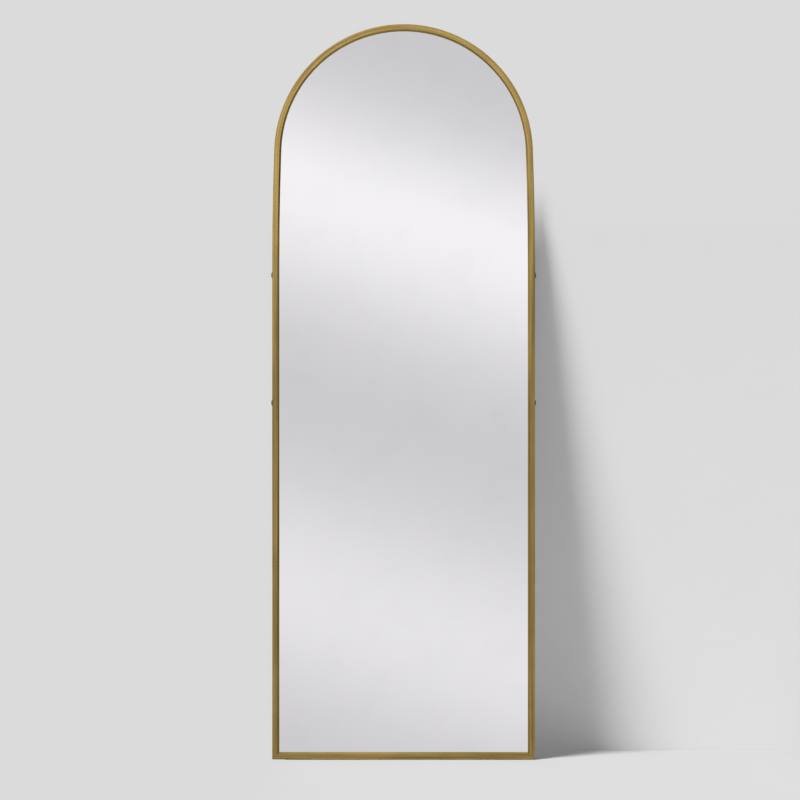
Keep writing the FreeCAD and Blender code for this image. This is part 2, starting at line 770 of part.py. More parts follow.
def stay_reach():
    """From the lower screw down to the pin of the folded stand: as far as from the upper screw to the lower."""
    return size("pivot_height") - size("stay_height")


def stay(side):
    """A flat bar on the lower screw. The pin of the stand slides in its slot, whose end stops the stand."""
    part = new_body(f"stay_{side_name(side)}", depth=size("pivot_depth"), height=size("stay_height"))
    middle = size("stay_outer") - size("stay_thickness") / 2
    half = size("stay_width") / 2
    slot_top = size("stay_gap") - stay_reach()
    slot_end = slot_top - size("slot_travel")
    sketch = new_sketch(part, "YZ_Plane", "bar", offset=side * middle)
    draw_chain(sketch, round_ended(half, slot_end, 0.0))
    draw_chain(sketch, round_ended(size("slot_width") / 2, slot_end, slot_top))
    draw_circle(sketch, 0.0, 0.0, size("bore_radius"))
    pad(sketch, size("stay_thickness"), both=True)


def round_ended(half, low, high):
    """An upright bar with round ends, about the sketch's vertical axis, in quarter turns."""
    return [
        (half, low),
        (half, high, half),
        (0.0, high + half, half),
        (-half, high),
        (-half, low, half),
        (0.0, low - half, half),
    ]


def stand_tube():
    """The U of the stand: one flat-sided steel tube with two bends."""
    part = new_body("stand_tube", depth=size("pivot_depth"), height=size("pivot_height"))
    wide, deep = size("tube_width") / 2, size("tube_depth") / 2
    leg = size("tube_side") - wide
    top = -size("tube_top_gap")
    low = size("foot_clearance") + size("foot_thickness") + wide - size("pivot_height")
    bend = size("tube_bend")
    spine = new_sketch(part, "XZ_Plane", "path")
    path = [
        (leg, top),
        (leg, low + bend, -bend),
        (leg - bend, low),
        (bend - leg, low, -bend),
        (-leg, low + bend),
        (-leg, top),
    ]
    draw_chain(spine, path, closed=False)
    section = new_sketch(part, "XY_Plane", "section", offset=top)
    edge, wall = size("tube_edge_radius"), size("tube_wall")
    draw_chain(section, rounded_rectangle(leg, wide, deep, edge))
    draw_chain(section, rectangle(leg - wide + wall, leg + wide - wall, wall - deep, deep - wall))
    pipe(section, spine)

    play, past = size("hole_play"), size("overcut")
    pins = new_sketch(part, "YZ_Plane", "pin_hole", offset=size("tube_side") + past)
    draw_circle(pins, 0.0, -2 * stay_reach(), size("pin_radius") + play)
    mirror_in_x(pocket(pins, wall + 2 * past))
    stems = new_sketch(part, "XY_Plane", "foot_hole", offset=low - wide - past)
    draw_circle(stems, size("foot_place"), 0.0, size("stem_radius") + play)
    mirror_in_x(pocket(stems, wall + 2 * past, reverse=True))


def rounded_rectangle(x, half_width, half_depth, radius):
    """A rectangle about (x, 0) with rounded corners."""
    left, right = x - half_width, x + half_width
    low, high = -half_depth, half_depth
    return [
        (left + radius, low),
        (right - radius, low, radius),
        (right, low + radius),
        (right, high - radius, radius),
        (right - radius, high),
        (left + radius, high, radius),
        (left, high - radius),
        (left, low + radius, radius),
    ]


def pivot_block(side):
    """A block in the tube's upper end, round about the pivot, with the thread for the upper screw."""
    part = new_body(
        f"pivot_block_{side_name(side)}", depth=size("pivot_depth"), height=size("pivot_height")
    )
    wide, half = size("tube_width") / 2, size("tube_depth") / 2
    leg = size("tube_side") - wide
    top = -size("tube_top_gap")
    head = new_sketch(part, "YZ_Plane", "head", offset=side * leg)
    draw_chain(head, [(-half, top), (half, top), (half, 0.0, half), (0.0, half, half), (-half, 0.0)])
    pad(head, size("tube_width"), both=True)
    tongue = new_sketch(part, "XY_Plane", "tongue", offset=top)
    inset = size("tube_wall") + size("tongue_play")
    middle, reach = side * leg, wide - inset
    draw_chain(tongue, rectangle(middle - reach, middle + reach, inset - half, half - inset))
    pad(tongue, size("tongue_length"), reverse=True)
    past = size("overcut")
    thread = new_sketch(part, "YZ_Plane", "thread", offset=side * (size("tube_side") + past))
    draw_circle(thread, 0.0, 0.0, size("screw_radius") + size("thread_play"))
    pocket(thread, size("screw_reach") + 2 * past, reverse=side < 0)


def stay_pin(side):
    """A shouldered rivet in a leg. It carries the slotted end of the stay."""
    near, pin, gap = size("tube_side"), size("pin_radius"), size("stay_gap")
    inside = near - size("tube_wall")
    tail_end, tail = inside - size("pin_tail_height"), size("pin_tail")
    shoulder_end, shoulder = size("stay_outer") - size("stay_thickness") - gap, size("pin_shoulder")
    neck_end = size("stay_outer") + gap
    head_end, head = neck_end + size("pin_head_height"), size("pin_head")
    outline = [
        (tail_end, 0.0),
        (tail_end, tail),
        (inside, tail),
        (inside, pin),
        (near, pin),
        (near, shoulder),
        (shoulder_end, shoulder),
        (shoulder_end, pin),
        (neck_end, pin),
        (neck_end, head),
        (head_end - gap, head),
        (head_end, head - gap),
        (head_end, 0.0),
    ]
    height = size("pivot_height") - 2 * stay_reach()
    turned_piece(f"stay_pin_{side_name(side)}", outline, height, side)


def stand_foot(side):
    """A rubber pad under the crossbar, held by a stem in the tube."""
    part = new_body(
        f"stand_foot_{side_name(side)}", depth=size("pivot_depth"), height=size("foot_clearance")
    )
    x = side * size("foot_place")
    sole = new_sketch(part, "XY_Plane", "sole")
    outline = rounded_rectangle(x, size("foot_length") / 2, size("foot_width") / 2, size("foot_corner"))
    draw_chain(sole, outline)
    pad(sole, size("foot_thickness"))
    stem = new_sketch(part, "XY_Plane", "stem", offset=size("foot_thickness"))
    draw_circle(stem, x, 0.0, size("stem_radius"))
    pad(stem, size("stem_length"))


def stand():
    """The fold-away stand with all that turns with it, then its two stays and their fixings."""
    stand_tube()
    for side in (-1, 1):
        name = side_name(side)
        pivot_block(side)
        bush(f"pivot_bush_{name}", size("pivot_height"), size("tube_side") + size("head_gap"), side)
        side_screw(f"pivot_screw_{name}", size("pivot_height"), size("tube_side") - size("screw_reach"), side)
        stay_pin(side)
        stand_foot(side)
        stay_fixings(side)
        stay(side)


def check_document():
    """Stops if any object failed or any sub-part's shape is empty or broken."""
    for thing in DOC.Objects:
        if any(flag in ("Invalid", "Error") for flag in thing.State):
            raise RuntimeError(f"{thing.Name} failed: {thing.State}")
    for part in BODIES:
        if part.Shape.isNull() or not part.Shape.isValid() or not part.Shape.Solids:
            raise RuntimeError(f"{part.Label} has no valid shape")


def write_parts():
    """Writes each sub-part to its own file."""
    for part in BODIES:
        part.Shape.exportStep(f"parts/{part.Label}.step")
        box = part.Shape.BoundBox
        count, volume = len(part.Shape.Solids), part.Shape.Volume / 1000
        spans = (box.XMin, box.XMax, box.YMin, box.YMax, box.ZMin, box.ZMax)
        places = " ".join(f"{span:8.1f}" for span in spans)
        print(f"{part.Label:18s} solids {count:2d}  volume {volume:9.2f} cm3  box {places}")


DOC = FreeCAD.newDocument("floor_mirror")
SHEET = make_sheet(DOC)
BODIES = []
FRONT = -(size("frame_depth") + size("bumper_height")) / 2
ARCH = Arch()

arch_frame()
bottom_rail()
for key_side in (-1, 1):
    corner_key(key_side)
corner_screws()
board_back = glass_stack()
spring_clips(board_back)
for pad_side in (-1, 1):
    floor_pad(pad_side)
wall_bumpers()
for plate_side in (-1, 1):
    hanger_plate(plate_side)
hanger_rivets()
stand()
DOC.recompute()
check_document()
write_parts()
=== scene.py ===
"""Looks of an arched leaning floor mirror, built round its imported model.

Lengths are metres in the model's own frame: X runs along the width, +Y from the glass to the back, +Z up,
and the origin is on the floor under the middle. The mirror stands upright here. The photographed one leans,
so the studio's wall bends away instead: it touches the upper bumpers and stands off at the floor.
"""

import logging
import math
from dataclasses import dataclass, field
from enum import Enum

import bpy
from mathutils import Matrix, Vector


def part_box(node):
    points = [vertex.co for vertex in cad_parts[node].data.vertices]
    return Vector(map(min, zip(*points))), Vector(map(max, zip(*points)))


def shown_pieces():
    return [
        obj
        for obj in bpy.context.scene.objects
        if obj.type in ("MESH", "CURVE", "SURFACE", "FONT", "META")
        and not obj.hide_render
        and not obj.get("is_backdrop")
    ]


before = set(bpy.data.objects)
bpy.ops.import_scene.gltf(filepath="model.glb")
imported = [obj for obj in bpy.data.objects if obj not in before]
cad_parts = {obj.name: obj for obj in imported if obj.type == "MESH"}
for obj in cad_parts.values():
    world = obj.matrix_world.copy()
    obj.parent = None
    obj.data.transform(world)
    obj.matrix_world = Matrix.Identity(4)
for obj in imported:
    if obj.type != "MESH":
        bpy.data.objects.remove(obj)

LOG = logging.getLogger("floor_mirror")
MOST_NOISE = (0.3, 0.7)

Colour = tuple[float, float, float, float]
Stretch = tuple[float, float, float]
Value = float | tuple | bpy.types.NodeSocket


def tone(red: int, green: int, blue: int) -> Colour:
    """Turns a screen colour into the linear colour that the shaders take.

    Args:
        red: Red, from 0 to 255.
        green: Green, from 0 to 255.
        blue: Blue, from 0 to 255.

    Returns:
        The linear colour with an alpha of 1.
    """
    shares = (channel / 255 for channel in (red, green, blue))
    linear = [s / 12.92 if s <= 0.04045 else ((s + 0.055) / 1.055) ** 2.4 for s in shares]
    return (*linear, 1.0)


class Tree:
    """A node tree that is being filled."""

    def __init__(self, tree: bpy.types.NodeTree) -> None:
        """Empties the tree.

        Args:
            tree: The node tree of a material or of the world.
        """
        self.tree = tree
        tree.nodes.clear()

    def add(
        self, kind: str, inputs: dict[str | int, Value] | None = None, **settings: object
    ) -> bpy.types.Node:
        """Adds a node.

        Args:
            kind: The node's type name.
            inputs: A number, a colour or another node's output for each named or numbered input.
            **settings: The node's own properties.

        Returns:
            The new node.
        """
        node = self.tree.nodes.new(kind)
        for name, setting in settings.items():
            setattr(node, name, setting)
        for name, value in (inputs or {}).items():
            if isinstance(value, bpy.types.NodeSocket):
                self.tree.links.new(value, node.inputs[name])
            else:
                node.inputs[name].default_value = value
        return node

    def math(self, operation: str, first: Value, second: Value = 0.0) -> bpy.types.NodeSocket:
        """Works out one step of arithmetic.

        Args:
            operation: The Math node's operation.
            first: Its first input.
            second: Its second input.

        Returns:
            The result.
        """
        return self.add("ShaderNodeMath", {0: first, 1: second}, operation=operation).outputs[0]

    def scaled(
        self, value: Value, low: float, high: float, to_low: float, to_high: float
    ) -> bpy.types.NodeSocket:
        """Maps a stretch of values to another, held at both ends.

        Args:
            value: What is mapped.
            low: Start of the stretch.
            high: End of the stretch.
            to_low: What its start becomes.
            to_high: What its end becomes.

        Returns:
            The mapped value.
        """
        inputs = {"Value": value, "From Min": low, "From Max": high, "To Min": to_low, "To Max": to_high}
        return self.add("ShaderNodeMapRange", inputs, interpolation_type="SMOOTHSTEP").outputs[0]

    def mix(self, share: Value, first: Value, second: Value) -> bpy.types.NodeSocket:
        """Mixes two colours.

        Args:
            share: 0 for the first colour, 1 for the second.
            first: The first colour.
            second: The second colour.

        Returns:
            The mixed colour.
        """
        node = self.add("ShaderNodeMix", data_type="RGBA")
        sockets = (node.inputs[0], node.inputs[6], node.inputs[7])  # the share and the two colours
        for socket, value in zip(sockets, (share, first, second)):
            if isinstance(value, bpy.types.NodeSocket):
                self.tree.links.new(value, socket)
            else:
                socket.default_value = value
        return node.outputs[2]

    def noise(
        self, place: Value, size: float, detail: float = 3.0, roughness: float = 0.55
    ) -> bpy.types.NodeSocket:
        """Adds cloudy noise.

        Args:
            place: Where it is looked up.
            size: Size of its largest clouds, in metres.
            detail: Number of finer layers.
            roughness: Weight of the finer layers.

        Returns:
            Values about 0.5.
        """
        inputs = {"Vector": place, "Scale": 1 / size, "Detail": detail, "Roughness": roughness}
        return self.add("ShaderNodeTexNoise", inputs, noise_dimensions="3D").outputs[0]

    def bell(self, value: Value, centre: float, width: Value) -> bpy.types.NodeSocket:
        """Works out a bell curve.

        Args:
            value: Where on the curve.
            centre: Its top, where it is 1.
            width: How far from the top it falls to a third.

        Returns:
            The height of the curve.
        """
        away = self.math("DIVIDE", self.math("SUBTRACT", value, centre), width)
        return self.math("EXPONENT", self.math("MULTIPLY", self.math("MULTIPLY", away, away), -1.0))


def new_material(name: str) -> tuple[bpy.types.Material, Tree]:
    """Makes an empty node material.

    Args:
        name: Its name.

    Returns:
        The material and its tree.
    """
    material = bpy.data.materials.new(name)
    material.use_nodes = True
    return material, Tree(material.node_tree)


class GrainPath(Enum):
    """The line that the brush marks follow."""

    ARCH = "up the jambs and over the arch"
    RAIL = "along the bottom rail"


@dataclass(frozen=True)
class BrushedGold:
    """Anodised aluminium, brushed lengthwise before it was bent."""

    path: GrainPath
    crown_centre: float
    crown_radius: float
    half_width: float
    foot: float
    light: Colour = tone(194, 165, 98)
    dark: Colour = tone(136, 113, 62)
    seam_tone: Colour = tone(38, 32, 20)
    fine_mark: float = 0.0004
    broad_mark: float = 0.0040
    broad_share: float = 0.75
    mark_span: tuple[float, float] = (0.35, 0.65)
    stretch: float = 110.0
    patch: float = 0.12
    patch_span: tuple[float, float] = (0.35, 0.7)
    patch_share: float = 0.35
    seam: float = 0.00012
    seam_share: float = 0.85
    relief: float = 0.00004
    relief_strength: float = 0.25
    roughness: tuple[float, float] = (0.34, 0.44)
    roughness_span: tuple[float, float] = (0.25, 0.75)
    anisotropy: float = 0.65

    def strokes(self, tree: Tree, x: Value, y: Value, z: Value) -> tuple[Value, Value]:
        """Follows the brush along the extrusion.

        Args:
            tree: The material's tree.
            x: Place across the mirror.
            y: Depth.
            z: Height.

        Returns:
            The place on the straightened extrusion, shrunk along its run, and the direction of the brush.
        """
        if self.path is GrainPath.RAIL:
            across, along = z, x
            stroke = tree.add("ShaderNodeCombineXYZ", {0: 1.0}).outputs[0]
        else:
            rise = tree.math("MAXIMUM", tree.math("SUBTRACT", z, self.crown_centre), 0.0)
            squares = tree.math("ADD", tree.math("MULTIPLY", x, x), tree.math("MULTIPLY", rise, rise))
            side = tree.math("SIGN", x)  # so that the two jambs don't have the same marks
            across = tree.math("ADD", tree.math("SQRT", squares), side)
            turn = tree.math("ARCTAN2", rise, tree.math("ABSOLUTE", x))
            straight = tree.math("MINIMUM", z, self.crown_centre)
            along = tree.math("ADD", straight, tree.math("MULTIPLY", turn, self.crown_radius))
            down = tree.math("MULTIPLY", rise, -1.0)
            stroke = tree.add("ShaderNodeCombineXYZ", {0: down, 2: x}).outputs[0]
        along = tree.math("DIVIDE", along, self.stretch)
        return tree.add("ShaderNodeCombineXYZ", {0: across, 1: y, 2: along}).outputs[0], stroke

    def colour(self, tree: Tree, local: Value, marks: Value, x: Value, z: Value) -> bpy.types.NodeSocket:
        """Tints the metal by its marks and patches, and draws the seams of the mitres.

        Args:
            tree: The material's tree.
            local: The piece's own coordinates.
            marks: How light each brush mark is.
            x: Place across the mirror.
            z: Height.

        Returns:
            The colour.
        """
        patches = tree.noise(local, self.patch, 2.0)
        metal = tree.mix(tree.scaled(marks, *self.mark_span, 0.0, 1.0), self.dark, self.light)
        worn = tree.scaled(patches, *self.patch_span, 0.0, self.patch_share)
        metal = tree.mix(worn, metal, self.dark)
        corner = tree.math("SUBTRACT", self.half_width + self.foot, tree.math("ABSOLUTE", x))
        off_seam = tree.math("ABSOLUTE", tree.math("SUBTRACT", corner, z))
        gap = tree.scaled(off_seam, self.seam, 3 * self.seam, self.seam_share, 0.0)
        return tree.mix(gap, metal, self.seam_tone)

    def make(self) -> bpy.types.Material:
        """Builds the material.

        Returns:
            The brushed metal, with its marks along the path and a hairline where the mitres meet.
        """
        material, tree = new_material(f"brushed_gold_{self.path.name.lower()}")
        local = tree.add("ShaderNodeTexCoord").outputs["Object"]
        x, y, z = tree.add("ShaderNodeSeparateXYZ", {0: local}).outputs
        place, stroke = self.strokes(tree, x, y, z)
        fine = tree.math("MULTIPLY", tree.noise(place, self.fine_mark, 2.0), 1 - self.broad_share)
        broad = tree.math("MULTIPLY", tree.noise(place, self.broad_mark, 3.0), self.broad_share)
        marks = tree.math("ADD", fine, broad)
        relief = {"Strength": self.relief_strength, "Distance": self.relief, "Height": marks}
        bump = tree.add("ShaderNodeBump", relief)
        normal = tree.add("ShaderNodeNewGeometry").outputs["Normal"]
        tangent = tree.add("ShaderNodeVectorMath", {0: normal, 1: stroke}, operation="CROSS_PRODUCT")
        shader = tree.add(
            "ShaderNodeBsdfPrincipled",
            {
                "Base Color": self.colour(tree, local, marks, x, z),
                "Metallic": 1.0,
                "Roughness": tree.scaled(marks, *self.roughness_span, *self.roughness),
                "Anisotropic": self.anisotropy,
                "Tangent": tangent.outputs[0],
                "Normal": bump.outputs[0],
            },
        )
        tree.add("ShaderNodeOutputMaterial", {"Surface": shader.outputs[0]})
        return material


@dataclass(frozen=True)
class SilveredGlass:
    """Float glass, silvered at the back."""

    silver: Colour = tone(248, 246, 249)
    hazy_silver: Colour = tone(246, 244, 247)
    haze: float = 0.09
    haze_span: tuple[float, float] = (0.45, 0.7)
    wave: float = 0.35
    wave_height: float = 0.0004
    wave_strength: float = 0.1
    roughness: tuple[float, float] = (0.004, 0.015)
    roughness_span: tuple[float, float] = (0.4, 0.75)

    def make(self) -> bpy.types.Material:
        """Builds the material.

        Returns:
            A mirror with the faint waviness of float glass and a trace of haze.
        """
        material, tree = new_material("mirror_glass")
        local = tree.add("ShaderNodeTexCoord").outputs["Object"]
        haze = tree.noise(local, self.haze, 4.0)
        waves = tree.noise(local, self.wave, 1.0)
        relief = {"Strength": self.wave_strength, "Distance": self.wave_height, "Height": waves}
        bump = tree.add("ShaderNodeBump", relief)
        hazy = tree.scaled(haze, *self.haze_span, 0.0, 1.0)
        shader = tree.add(
            "ShaderNodeBsdfPrincipled",
            {
                "Base Color": tree.mix(hazy, self.silver, self.hazy_silver),
                "Metallic": 1.0,
                "Roughness": tree.scaled(haze, *self.roughness_span, *self.roughness),
                "Normal": bump.outputs[0],
            },
        )
        tree.add("ShaderNodeOutputMaterial", {"Surface": shader.outputs[0]})
        return material


class Pattern(Enum):
    """What breaks up a plain finish."""

    CLOUDS = "clouds"
    CELLS = "cells"
    FIBRES = "fibres"
    BRUSHED = "brushed"


@dataclass(frozen=True)
class PlainFinish:
    """A finish of one substance: two tones, a pattern of a real size, and a surface that follows it."""

    name: str
    light: Colour
    dark: Colour
    pattern: Pattern
    grain: float
    relief: float
    roughness: tuple[float, float]
    metallic: float = 0.0
    patches: float = 0.4
    patch_grains: float = 20.0
    patch_span: tuple[float, float] = (0.4, 0.75)
    cell_span: tuple[float, float] = (0.1, 0.8)
    fibre_span: tuple[float, float] = (0.42, 0.72)
    relief_strength: float = 0.6
    fibre_runs: tuple[Stretch, ...] = ((0.12, 1.0, 1.0), (1.0, 1.0, 0.12), (0.4, 1.0, 0.4))
    brush_run: Stretch = (1.0, 1.0, 0.05)

    def pattern_value(self, tree: Tree, local: bpy.types.NodeSocket) -> bpy.types.NodeSocket:
        """Lays out the pattern.

        Args:
            tree: The material's tree.
            local: The piece's own coordinates.

        Returns:
            Values from about 0 to 1.
        """
        if self.pattern is Pattern.CELLS:
            cells = tree.add("ShaderNodeTexVoronoi", {"Vector": local, "Scale": 1 / self.grain})
            return tree.scaled(cells.outputs["Distance"], *self.cell_span, 0.0, 1.0)
        if self.pattern is Pattern.FIBRES:
            fibres = []
            for run in self.fibre_runs:
                drawn = tree.add("ShaderNodeVectorMath", {0: local, 1: run}, operation="MULTIPLY")
                fibres.append(tree.noise(drawn.outputs[0], self.grain, 4.0, 0.7))
            lightest = tree.math("MAXIMUM", tree.math("MAXIMUM", *fibres[:2]), fibres[2])
            return tree.scaled(lightest, *self.fibre_span, 0.0, 1.0)
        if self.pattern is Pattern.BRUSHED:
            drawn = tree.add("ShaderNodeVectorMath", {0: local, 1: self.brush_run}, operation="MULTIPLY")
            return tree.scaled(tree.noise(drawn.outputs[0], self.grain, 3.0), *MOST_NOISE, 0.0, 1.0)
        return tree.scaled(tree.noise(local, self.grain, 5.0, 0.6), *MOST_NOISE, 0.0, 1.0)

    def make(self) -> bpy.types.Material:
        """Builds the material.

        Returns:
            The finish.
        """
        material, tree = new_material(self.name)
        local = tree.add("ShaderNodeTexCoord").outputs["Object"]
        value = self.pattern_value(tree, local)
        clouds = tree.noise(local, self.patch_grains * self.grain, 2.0)
        colour = tree.mix(value, self.dark, self.light)
        colour = tree.mix(tree.scaled(clouds, *self.patch_span, 0.0, self.patches), colour, self.dark)
        relief = {"Strength": self.relief_strength, "Distance": self.relief, "Height": value}
        bump = tree.add("ShaderNodeBump", relief)
        shader = tree.add(
            "ShaderNodeBsdfPrincipled",
            {
                "Base Color": colour,
                "Metallic": self.metallic,
                "Roughness": tree.scaled(value, 0.0, 1.0, *self.roughness),
                "Normal": bump.outputs[0],
            },
        )
        tree.add("ShaderNodeOutputMaterial", {"Surface": shader.outputs[0]})
        return material


POWDER_COAT = PlainFinish(
    "black_powder_coat",
    light=tone(34, 34, 35),
    dark=tone(22, 22, 23),
    pattern=Pattern.CLOUDS,
    grain=0.0009,
    relief=0.00005,
    roughness=(0.42, 0.56),
)
BLACK_OXIDE = PlainFinish(
    "black_oxide",
    light=tone(26, 26, 25),
    dark=tone(16, 16, 16),
    pattern=Pattern.CLOUDS,
    grain=0.0012,
    relief=0.00001,
    roughness=(0.5, 0.62),
)
CAST_ALUMINIUM = PlainFinish(
    "cast_aluminium",
    light=tone(168, 168, 166),
    dark=tone(140, 141, 141),
    pattern=Pattern.CLOUDS,
    grain=0.0007,
    relief=0.00006,
    roughness=(0.45, 0.6),
    metallic=1.0,
)
ZINC = PlainFinish(
    "zinc_plate",
    light=tone(196, 198, 202),
    dark=tone(160, 163, 168),
    pattern=Pattern.CELLS,
    grain=0.004,
    relief=0.00001,
    roughness=(0.28, 0.42),
    metallic=1.0,
)
BRIGHT_STEEL = PlainFinish(
    "bright_steel",
    light=tone(205, 204, 200),
    dark=tone(176, 175, 172),
    pattern=Pattern.CLOUDS,
    grain=0.0006,
    relief=0.00001,
    roughness=(0.2, 0.32),
    metallic=1.0,
)
SPRING_STEEL = PlainFinish(
    "spring_steel",
    light=tone(120, 116, 108),
    dark=tone(88, 86, 84),
    pattern=Pattern.BRUSHED,
    grain=0.0003,
    relief=0.00001,
    roughness=(0.26, 0.4),
    metallic=1.0,
)
RUBBER = PlainFinish(
    "black_rubber",
    light=tone(30, 30, 30),
    dark=tone(19, 19, 19),
    pattern=Pattern.CLOUDS,
    grain=0.0005,
    relief=0.00004,
    roughness=(0.7, 0.9),
)
NYLON = PlainFinish(
    "black_nylon",
    light=tone(38, 38, 40),
    dark=tone(28, 28, 30),
    pattern=Pattern.CLOUDS,
    grain=0.0015,
    relief=0.00001,
    roughness=(0.35, 0.5),
)
HARDBOARD = PlainFinish(
    "hardboard",
    light=tone(150, 117, 84),
    dark=tone(108, 80, 55),
    pattern=Pattern.FIBRES,
    grain=0.0016,
    relief=0.00012,
    roughness=(0.7, 0.9),
    patches=0.12,
)
WHITE_FOAM = PlainFinish(
    "white_foam",
    light=tone(226, 226, 222),
    dark=tone(198, 198, 195),
    pattern=Pattern.CELLS,
    grain=0.0012,
    relief=0.0001,
    roughness=(0.85, 0.95),
)
GREY_FILM = PlainFinish(
    "grey_film",
    light=tone(112, 114, 118),
    dark=tone(98, 100, 104),
    pattern=Pattern.CLOUDS,
    grain=0.02,
    relief=0.00002,
    roughness=(0.3, 0.45),
)
BLACK_FOAM = PlainFinish(
    "black_foam",
    light=tone(26, 26, 26),
    dark=tone(14, 14, 14),
    pattern=Pattern.CELLS,
    grain=0.0006,
    relief=0.00005,
    roughness=(0.8, 0.95),
)


def dress(material: bpy.types.Material, *nodes: str) -> None:
    """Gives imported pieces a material.

    Args:
        material: The material.
        *nodes: The pieces' names.
    """
    for name in nodes:
        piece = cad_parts[name]
        piece.data.materials.clear()
        piece.data.materials.append(material)
        LOG.info("%-20s %s", name, material.name)


def both(name: str) -> tuple[str, str]:
    """Names the left and the right piece of a pair."""
    return f"{name}_left", f"{name}_right"


@dataclass
class GoldFrame:
    """The bent extrusion, its bottom rail and what holds the mitres."""

    crown_radius: float = 0.2955

    def dress(self) -> None:
        """Brushes each length of the extrusion along its own run."""
        low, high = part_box("arch_frame")
        for node, path in (("arch_frame", GrainPath.ARCH), ("bottom_rail", GrainPath.RAIL)):
            gold = BrushedGold(path, high.z - self.crown_radius, self.crown_radius, high.x, low.z)
            dress(gold.make(), node)
        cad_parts["arch_frame"].visible_diffuse = False  # no gold glow on the wall
        dress(CAST_ALUMINIUM.make(), *both("corner_key"))
        dress(BLACK_OXIDE.make(), "corner_screws")


@dataclass
class GlassStack:
    """What lies in the groove, from the glazing tape to the springs."""

    layers: tuple[str, ...] = ("mirror_glass", "safety_film", "foam_pad", "backboard")

    def dress(self) -> None:
        """Gives each layer its finish."""
        dress(BLACK_FOAM.make(), "glazing_tape")
        dress(SilveredGlass().make(), "mirror_glass")
        dress(GREY_FILM.make(), "safety_film")
        dress(WHITE_FOAM.make(), "foam_pad")
        dress(HARDBOARD.make(), "backboard")
        dress(SPRING_STEEL.make(), "spring_clips")
        for layer in self.layers:
            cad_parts[layer].visible_diffuse = False  # no patch of mirrored light on the floor


@dataclass
class FoldingStand:
    """The U-shaped stand, its stays and the screws that carry them."""

    coated: tuple[str, ...] = ("stand_tube", *both("stay"))
    screws: tuple[str, ...] = (*both("pivot_screw"), *both("stay_screw"))
    plated: tuple[str, ...] = (*both("stay_pin"), *both("stay_nut"))
    bushes: tuple[str, ...] = (*both("pivot_bush"), *both("stay_bush"))

    def dress(self) -> None:
        """Gives the coated, plated, cast and moulded parts their finishes."""
        dress(POWDER_COAT.make(), *self.coated)
        dress(BLACK_OXIDE.make(), *self.screws)
        dress(ZINC.make(), *self.plated)
        dress(CAST_ALUMINIUM.make(), *both("pivot_block"))
        dress(NYLON.make(), *self.bushes)
        dress(RUBBER.make(), *both("stand_foot"))


@dataclass
class WallAndFloorFittings:
    """Hangers, bumpers and floor pads."""

    rubber: tuple[str, ...] = ("upper_bumpers", "lower_bumpers", *both("floor_pad"))

    def dress(self) -> None:
        """Gives the plates, rivets and rubber their finishes."""
        dress(ZINC.make(), *both("hanger_plate"))
        dress(BRIGHT_STEEL.make(), "hanger_rivets")
        dress(RUBBER.make(), *self.rubber)


@dataclass(frozen=True)
class PaleStage:
    """Matt paint of the floor or the wall, which keeps the object's shadow.

    No shadow falls above even_above, left of even_left and right of even_right. There the paint turns to
    even_tone, over the length of even_fade.
    """

    name: str
    paint: float
    facing: tuple[float, float, float]
    seen_in_metal: bool = False
    clear_from_behind: bool = False
    even_tone: Colour = tone(219, 219, 219)
    even_above: float = 5.0
    even_left: float = -0.34
    even_right: float = 1.0
    even_fade: float = 0.16
    mottle: float = 0.6
    mottle_share: float = 0.005

    def make(self) -> bpy.types.Material:
        """Builds the material.

        Returns:
            Matt paint that turns to an even tone away from the shadow, see-through where its fields say so.
        """
        material, tree = new_material(self.name)
        local = tree.add("ShaderNodeTexCoord").outputs["Object"]
        darkest = (1 - self.mottle_share) * self.paint
        lightest = (1 + self.mottle_share) * self.paint
        mottle = tree.scaled(tree.noise(local, self.mottle, 3.0), *MOST_NOISE, darkest, lightest)
        colour = tree.add("ShaderNodeCombineColor", {0: mottle, 1: mottle, 2: mottle})
        facing = tree.add("ShaderNodeCombineXYZ", dict(enumerate(self.facing))).outputs[0]
        paint = tree.add("ShaderNodeBsdfDiffuse", {"Color": colour.outputs[0], "Normal": facing}).outputs[0]
        x, _, z = tree.add("ShaderNodeSeparateXYZ", {0: local}).outputs
        above = tree.scaled(z, self.even_above - self.even_fade, self.even_above, 0.0, 1.0)
        left = tree.scaled(x, self.even_left, self.even_left + self.even_fade, 1.0, 0.0)
        right = tree.scaled(x, self.even_right - self.even_fade, self.even_right, 0.0, 1.0)
        share = tree.math("MAXIMUM", tree.math("MAXIMUM", above, left), right)
        even = tree.add("ShaderNodeEmission", {"Color": self.even_tone}).outputs[0]
        shader = tree.add("ShaderNodeMixShader", {0: share, 1: paint, 2: even}).outputs[0]
        clear = tree.add("ShaderNodeBsdfTransparent").outputs[0]
        if not self.seen_in_metal:
            glossy = tree.add("ShaderNodeLightPath").outputs["Is Glossy Ray"]
            shader = tree.add("ShaderNodeMixShader", {0: glossy, 1: shader, 2: clear}).outputs[0]
        if self.clear_from_behind:
            behind = tree.add("ShaderNodeNewGeometry").outputs["Backfacing"]
            shader = tree.add("ShaderNodeMixShader", {0: behind, 1: shader, 2: clear}).outputs[0]
        tree.add("ShaderNodeOutputMaterial", {"Surface": shader})
        return material


@dataclass(frozen=True)
class SoftBand:
    """A soft light band of the studio, as the mirror shows it, and how far it reaches below and above."""

    height: float
    below: float
    above: float
    gain: float


@dataclass(frozen=True)
class Fade:
    """A stretch of headings over which the studio's reflected light goes to another level."""

    start: float
    end: float
    level: float


